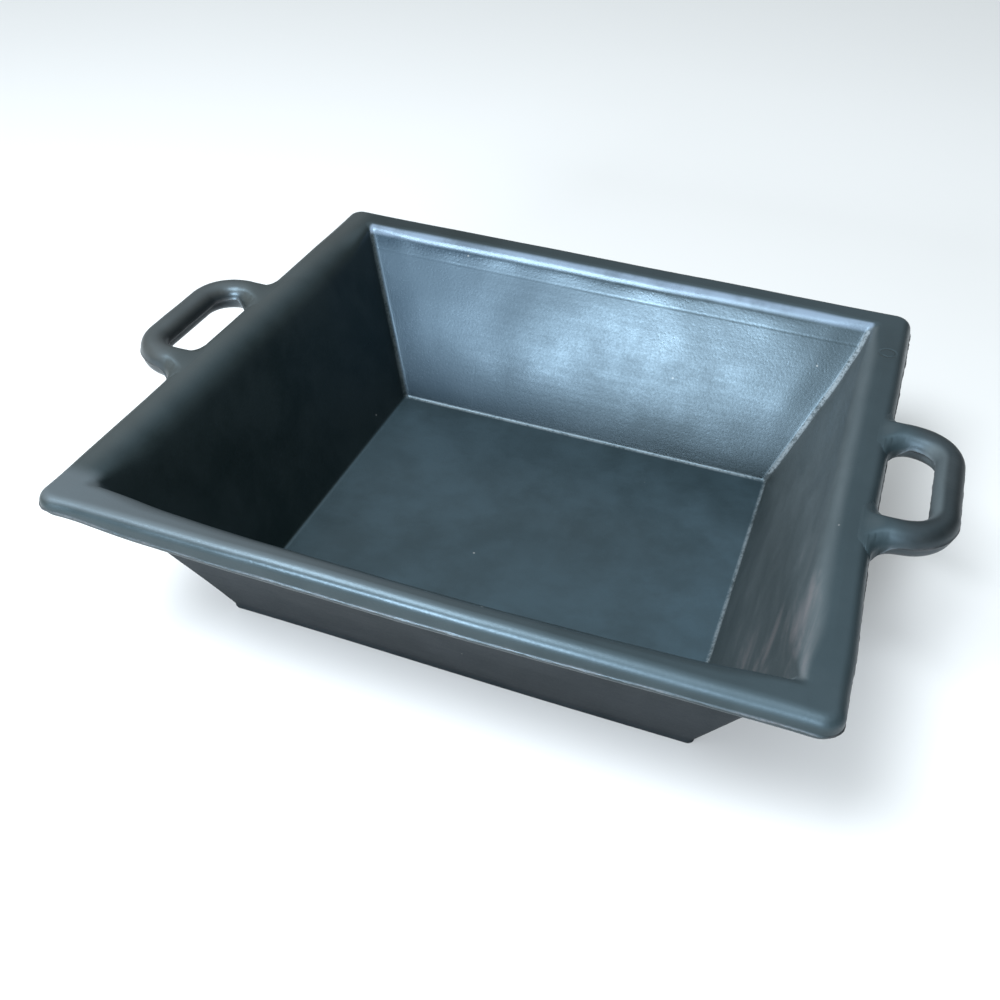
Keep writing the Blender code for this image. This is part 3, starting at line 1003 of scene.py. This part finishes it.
def path_places():
    """(centre, direction, half width) from the middle of one root to the middle of the bar."""
    places = []
    bar_x = REACH - BAR_HALF
    leg_end = bar_x - BEND
    for step in range(ROOT_STEPS):
        x = ROOT_END + (leg_end - ROOT_END) * step / ROOT_STEPS
        places.append((Vector((x, -HALF_SPAN)), Vector((1, 0)), LEG_HALF))
    for step in range(BEND_STEPS + 1):
        turn = math.pi / 2 * step / BEND_STEPS
        centre = Vector((leg_end + BEND * math.sin(turn), -HALF_SPAN + BEND * (1 - math.cos(turn))))
        half = LEG_HALF + (BAR_HALF - LEG_HALF) * ease(step, 0, BEND_STEPS)
        places.append((centre, Vector((math.cos(turn), math.sin(turn))), half))
    start = places[-1][0]
    for step in range(1, BAR_STEPS + 1):
        y = start.y * (1 - step / BAR_STEPS)
        places.append((Vector((bar_x, y)), Vector((0, 1)), BAR_HALF))
    return places


def mirrored(places):
    """The other half of the loop, walked from the bar back to its root."""
    return [(Vector((c.x, -c.y)), Vector((-d.x, d.y)), half) for c, d, half in reversed(places[:-1])]


loop_places = path_places()
loop_places += mirrored(loop_places)
print("handle stations", len(loop_places))


# %% [markdown]
# The loop's section is boxy at the root, where it runs out into the flat land, and rounder along the bar. The
# flash sits between its upper and lower halves, and rises a little on its way out from the rim.

# %% The handle's section
UPPER_STEPS = 18
LOWER_STEPS = 16
EDGE_PROUD = 0.0008
EDGE_ROOT = 0.0001
EDGE_HALF = 0.0006
LOWER_NARROWER = 0.0008
LOWER_BOXY = 0.85
PARTING_RISE = 0.0095
BELLY_CLEAR = 0.0005
ROOT_CLEAR = 0.0006


def squared(value, power):
    """A sine or cosine bent towards 1, which makes a circle boxy."""
    return math.copysign(abs(value) ** power, value)


def loop_section(half, crown, parting, belly, boxy):
    """(across, height, flash) points of the loop's section, anticlockwise from the outer side."""
    points = [(half + EDGE_PROUD, parting, 1.0), (half + EDGE_ROOT, parting + EDGE_HALF, 0.5)]
    rise = crown - parting - EDGE_HALF
    for step in range(1, UPPER_STEPS):
        angle = math.pi * step / UPPER_STEPS
        height = parting + EDGE_HALF + rise * squared(math.sin(angle), boxy)
        points.append((squared(math.cos(angle), boxy) * half, height, 0.0))
    points += [(-half - EDGE_ROOT, parting + EDGE_HALF, 0.5), (-half - EDGE_PROUD, parting, 1.0)]
    lower = half - LOWER_NARROWER
    fall = parting - EDGE_HALF - belly
    points.append((-lower, parting - EDGE_HALF, 0.6))
    for step in range(1, LOWER_STEPS):
        angle = math.pi * (1 + step / LOWER_STEPS)
        height = parting - EDGE_HALF + fall * squared(math.sin(angle), LOWER_BOXY)
        points.append((squared(math.cos(angle), LOWER_BOXY) * lower, height, 0.15))
    points.append((lower, parting - EDGE_HALF, 0.6))
    return points


def root_spread(x, height):
    """How far the hollow curve at a root pushes the side of a leg out, at a distance from the rim's face."""
    distance = x - (rim_x - rim_face_inset(height))
    short = ROOT_FLARE - min(max(distance, 0.0), ROOT_FLARE)
    return ROOT_FLARE - math.sqrt(ROOT_FLARE**2 - short**2)


def place_loop_ring(verts, station, number, flash):
    """Put a ring of vertices on the loop's section at one station of its path."""
    centre, direction, half = loop_places[station]
    crown = min(leg_top(centre.x), CROWN - 0.0001)
    lift = ease(centre.x, rim_x, rim_x + 0.018)
    parting = PARTING + PARTING_RISE * lift
    belly = BELLY + BELLY_CLEAR + ROOT_CLEAR * (1 - lift)
    points = loop_section(half, crown, parting, belly, 0.55 + 0.37 * lift)
    across_way = Vector((direction.y, -direction.x))
    for vert in verts:
        across, height, edge = points[vert[number]]
        side = min(abs(across) / half, 1.0)
        reach_x = centre.x + across_way.x * across
        across += math.copysign(root_spread(reach_x, height) * side**0.4, across)
        if edge == 1.0:
            torn = noise.noise(Vector((centre.x * 260, centre.y * 260, across * 90)))
            across += 0.0005 * (torn - 0.4) * math.copysign(1, across)
        spot = centre + across_way * across
        vert.co = Vector((spot.x, spot.y, height))
        vert[flash] = edge


# %% [markdown]
# The left handle is the same loop turned by half a turn about the tub's middle, as the frame has it. The
# right handle's roots reach a little further in, to meet the end of the tub that has crept inwards. Its
# edges are kept sharp only where faces meet at more than 75 degrees, which is along the flash.


# %% Make the handles
def make_handle(name, node, turn):
    bm = bmesh.new()
    number = bm.verts.layers.int.new("number")
    flash = bm.verts.layers.float.new("flash")
    count = len(loop_section(LEG_HALF, CROWN, PARTING, BELLY, 1.0))
    bmesh.ops.create_circle(bm, segments=count, radius=1.0)
    for index, vert in enumerate(bm.verts):
        vert[number] = index
    place_loop_ring(bm.verts[:], 0, number, flash)
    ring_edges = bm.edges[:]
    bmesh.ops.holes_fill(bm, edges=ring_edges, sides=0)
    for station in range(1, len(loop_places)):
        made = bmesh.ops.extrude_edge_only(bm, edges=ring_edges)["geom"]
        fresh = [item for item in made if isinstance(item, bmesh.types.BMVert)]
        place_loop_ring(fresh, station, number, flash)
        known = set(fresh)
        ring_edges = [e for e in made if isinstance(e, bmesh.types.BMEdge) and set(e.verts) <= known]
    bmesh.ops.holes_fill(bm, edges=ring_edges, sides=0)
    for vert in bm.verts:
        co = vert.co
        swell = noise.noise(co * 38) * 0.0004 - 0.0004
        co.z += swell * ease(co.z, BELLY, CROWN)
    bmesh.ops.rotate(bm, verts=bm.verts, cent=(0, 0, 0), matrix=Matrix.Rotation(turn, 3, "Z"))
    for vert in bm.verts:
        if vert.co.x > 0:
            at_root = 1 - ease(vert.co.x, rim_x + 0.004, rim_x + 0.03)
            vert.co.x -= SIDE_CREEP * ease(vert.co.y, -0.28, -0.03) * at_root
    bmesh.ops.recalc_face_normals(bm, faces=bm.faces)
    for face in bm.faces:
        face.smooth = True
    mesh = bpy.data.meshes.new(name)
    bm.to_mesh(mesh)
    bm.free()
    mesh.set_sharp_from_angle(angle=math.radians(75))
    mesh.materials.append(handle_rubber)
    handle = bpy.data.objects.new(name, mesh)
    bpy.context.scene.collection.objects.link(handle)
    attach(handle, "root")
    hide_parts(node)
    print(name, len(mesh.polygons), "faces", [round(v, 4) for v in handle.dimensions])


make_handle("right_handle_loop", "right_handle", 0.0)
make_handle("left_handle_loop", "left_handle", math.pi)
skin.free()


# %% [markdown]
# ## Canvas and rope inside
#
# The plies and the rope are bonded inside the rubber and can't be seen, but each still has its own finish,
# so that the tub can be opened up. The canvas is a plain weave: two sets of ridges at right angles, each
# passing over and under the other. The rope is laid in a twist, so its strands run as slanting bands. The
# nodes' own shapes are right, so they stay and only get a finish. The hidden rubber nodes are dressed too.

# %% Canvas and rope
WEAVE_PITCH = 1100.0
STRAND_PITCH = 900.0
YARN_LOW, YARN_HIGH, SLUB = (0.36, 0.31, 0.24), (0.50, 0.45, 0.36), (0.30, 0.25, 0.19)
GROOVE, STRAND, FIBRE = (0.27, 0.22, 0.15), (0.56, 0.50, 0.39), (0.38, 0.32, 0.23)


def canvas_material():
    graph = Graph("canvas_ply_weave")
    x, y, z = graph.separate(graph.object)
    warp = graph.math("SINE", graph.math("MULTIPLY", graph.math("ADD", x, z), WEAVE_PITCH))
    weft = graph.math("SINE", graph.math("MULTIPLY", graph.math("SUBTRACT", y, z), WEAVE_PITCH))
    over = graph.math("MULTIPLY", warp, weft)
    ridge = graph.math("MAXIMUM", graph.math("ABSOLUTE", warp), graph.math("ABSOLUTE", weft))
    slub = graph.noise(graph.object, 60.0, 5.0, 0.6)
    yarn = graph.mix(graph.span(over, -1.0, 1.0), YARN_LOW, YARN_HIGH)
    yarn = graph.mix(graph.span(slub, 0.45, 0.7, 0.0, 0.5), yarn, SLUB)
    graph.feed(graph.shader.inputs["Base Color"], yarn)
    graph.feed(graph.shader.inputs["Roughness"], graph.span(ridge, 0.0, 1.0, 0.98, 0.82))
    relief = graph.bump(ridge, 0.0003, 0.8)
    graph.feed(graph.shader.inputs["Normal"], graph.bump(slub, 0.0004, 0.4, relief))
    graph.shader.inputs["Sheen Weight"].default_value = 0.3
    return graph.material


def rope_material():
    graph = Graph("reinforcing_rope_laid")
    x, y, z = graph.separate(graph.object)
    lay = graph.math("ADD", graph.math("ADD", x, y), graph.math("MULTIPLY", z, 1.4))
    strand = graph.math("SINE", graph.math("MULTIPLY", lay, STRAND_PITCH))
    fibre = graph.noise(graph.stretched((260.0, 260.0, 420.0)), 1.0, 4.0, 0.7)
    color = graph.mix(graph.span(strand, -1.0, 0.6), GROOVE, STRAND)
    color = graph.mix(graph.span(fibre, 0.4, 0.7, 0.0, 0.4), color, FIBRE)
    graph.feed(graph.shader.inputs["Base Color"], color)
    graph.feed(graph.shader.inputs["Roughness"], graph.span(fibre, 0.3, 0.7, 0.8, 0.95))
    twist = graph.bump(strand, 0.0006, 0.8)
    graph.feed(graph.shader.inputs["Normal"], graph.bump(fibre, 0.0003, 0.6, twist))
    graph.shader.inputs["Sheen Weight"].default_value = 0.2
    return graph.material


# %% [markdown]
# Each hidden node takes the finish that its name calls for.

# %% Dress the hidden nodes
canvas = canvas_material()
rope = rope_material()
for name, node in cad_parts.items():
    if name.endswith("_ply"):
        finish = canvas
    elif name.endswith("_core") or name == "rim_cord":
        finish = rope
    elif name.endswith("_handle"):
        finish = handle_rubber
    else:
        finish = tub_rubber
    node.data.materials.clear()
    node.data.materials.append(finish)
print("dressed", len(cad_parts), "nodes")

# %% [markdown]
# ## Studio
#
# The tub stands on a plain white floor. One big soft light hangs above, towards the left and the front, as
# an open sky would. A second low one in front gives the back wall its sheen. The sky itself is bright
# overhead and dim near the ground, and darker towards the right, so that the left wall's inside falls into
# shade.


# %% Floor and lights
def matte(name, color):
    """A dull finish with a very slight unevenness, and a little light of its own to stay white."""
    graph = Graph(name)
    tone = graph.noise(graph.object, 3.0, 3.0)
    graph.feed(graph.shader.inputs["Base Color"], graph.mix(tone, color, tuple(c * 0.985 for c in color)))
    graph.shader.inputs["Roughness"].default_value = 0.9
    graph.shader.inputs["Specular IOR Level"].default_value = 0.1
    graph.shader.inputs["Emission Color"].default_value = (1.0, 1.0, 1.0, 1.0)
    graph.shader.inputs["Emission Strength"].default_value = 0.12
    return graph.material


ground_bm = bmesh.new()
bmesh.ops.create_grid(ground_bm, x_segments=8, y_segments=8, size=9.0)
ground_mesh = bpy.data.meshes.new("studio_floor")
ground_bm.to_mesh(ground_mesh)
ground_bm.free()
ground_mesh.materials.append(matte("studio_floor_white", (0.62, 0.61, 0.60)))
ground = bpy.data.objects.new("studio_floor", ground_mesh)
bpy.context.scene.collection.objects.link(ground)
ground.location.z = -0.0002


def softbox(name, place, target, size, power, color):
    """A rectangular area light that faces a target."""
    light = bpy.data.lights.new(name, "AREA")
    light.shape = "RECTANGLE"
    light.size, light.size_y = size
    light.energy = power
    light.color = color
    lamp = bpy.data.objects.new(name, light)
    bpy.context.scene.collection.objects.link(lamp)
    lamp.location = place
    way = Vector(target) - Vector(place)
    lamp.rotation_euler = way.to_track_quat("-Z", "Y").to_euler()
    print(name, "at", place, "size", size, "power", power)


softbox("sky_softbox", (-0.62, -1.12, 2.2), (0, 0, 0.1), (1.2, 1.0), 82.0, (0.86, 0.94, 1.0))
softbox("front_softbox", (-0.39, -2.2, 0.72), (0.04, 0.23, 0.11), (0.85, 0.32), 84.0, (0.82, 0.91, 1.0))

# %% [markdown]
# The sky's strength is the product of two smooth ramps, one over height and one over the way to the right.

# %% The sky
OVERHEAD = (0.5, 0.78, 0.35, 1.35)
TOWARDS_RIGHT = (0.15, 0.7, 1.0, 0.2)
world = bpy.data.worlds.new("studio_world")
bpy.context.scene.world = world
world.use_nodes = True
sky = world.node_tree
direction = sky.nodes.new("ShaderNodeTexCoord")
parts = sky.nodes.new("ShaderNodeSeparateXYZ")
sky.links.new(direction.outputs["Generated"], parts.inputs["Vector"])
both = sky.nodes.new("ShaderNodeMath")
both.operation = "MULTIPLY"
sky.links.new(both.outputs["Value"], sky.nodes["Background"].inputs["Strength"])
for index, (axis, limits) in enumerate((("Z", OVERHEAD), ("X", TOWARDS_RIGHT))):
    brightness = sky.nodes.new("ShaderNodeMapRange")
    brightness.interpolation_type = "SMOOTHSTEP"
    for key, number in zip(("From Min", "From Max", "To Min", "To Max"), limits):
        brightness.inputs[key].default_value = number
    sky.links.new(parts.outputs[axis], brightness.inputs["Value"])
    sky.links.new(brightness.outputs["Result"], both.inputs[index])
sky.nodes["Background"].inputs["Color"].default_value = (0.86, 0.95, 1.0, 1.0)
bpy.context.scene.view_settings.view_transform = "Standard"
print("sky dims from", OVERHEAD[3], "overhead to", OVERHEAD[2], "low down")

# %% [markdown]
# ## Camera
#
# The camera looks down into the tub from the front right. It is placed from its azimuth, elevation,
# distance and roll about a point near the tub's middle.

# %% Camera
azimuth, elevation, roll = (math.radians(value) for value in (18.563, 38.121, 2.574))
distance = 1.1081
target = Vector((-0.00955, -0.05068, rim_top / 2))
flat = math.cos(elevation)
back = Vector((math.sin(azimuth) * flat, -math.cos(azimuth) * flat, math.sin(elevation)))
level_right = Vector((math.cos(azimuth), math.sin(azimuth), 0.0))
level_up = back.cross(level_right)
right = level_right * math.cos(roll) + level_up * math.sin(roll)
up = level_up * math.cos(roll) - level_right * math.sin(roll)
lens = bpy.data.cameras.new("camera")
lens.lens = 42.563
lens.sensor_width = 36.0
camera = bpy.data.objects.new("camera", lens)
bpy.context.scene.collection.objects.link(camera)
turned = Matrix((right, up, back)).transposed().to_4x4()
camera.matrix_world = Matrix.Translation(target + back * distance) @ turned
bpy.context.scene.camera = camera
print("camera at", [round(v, 3) for v in camera.matrix_world.translation])
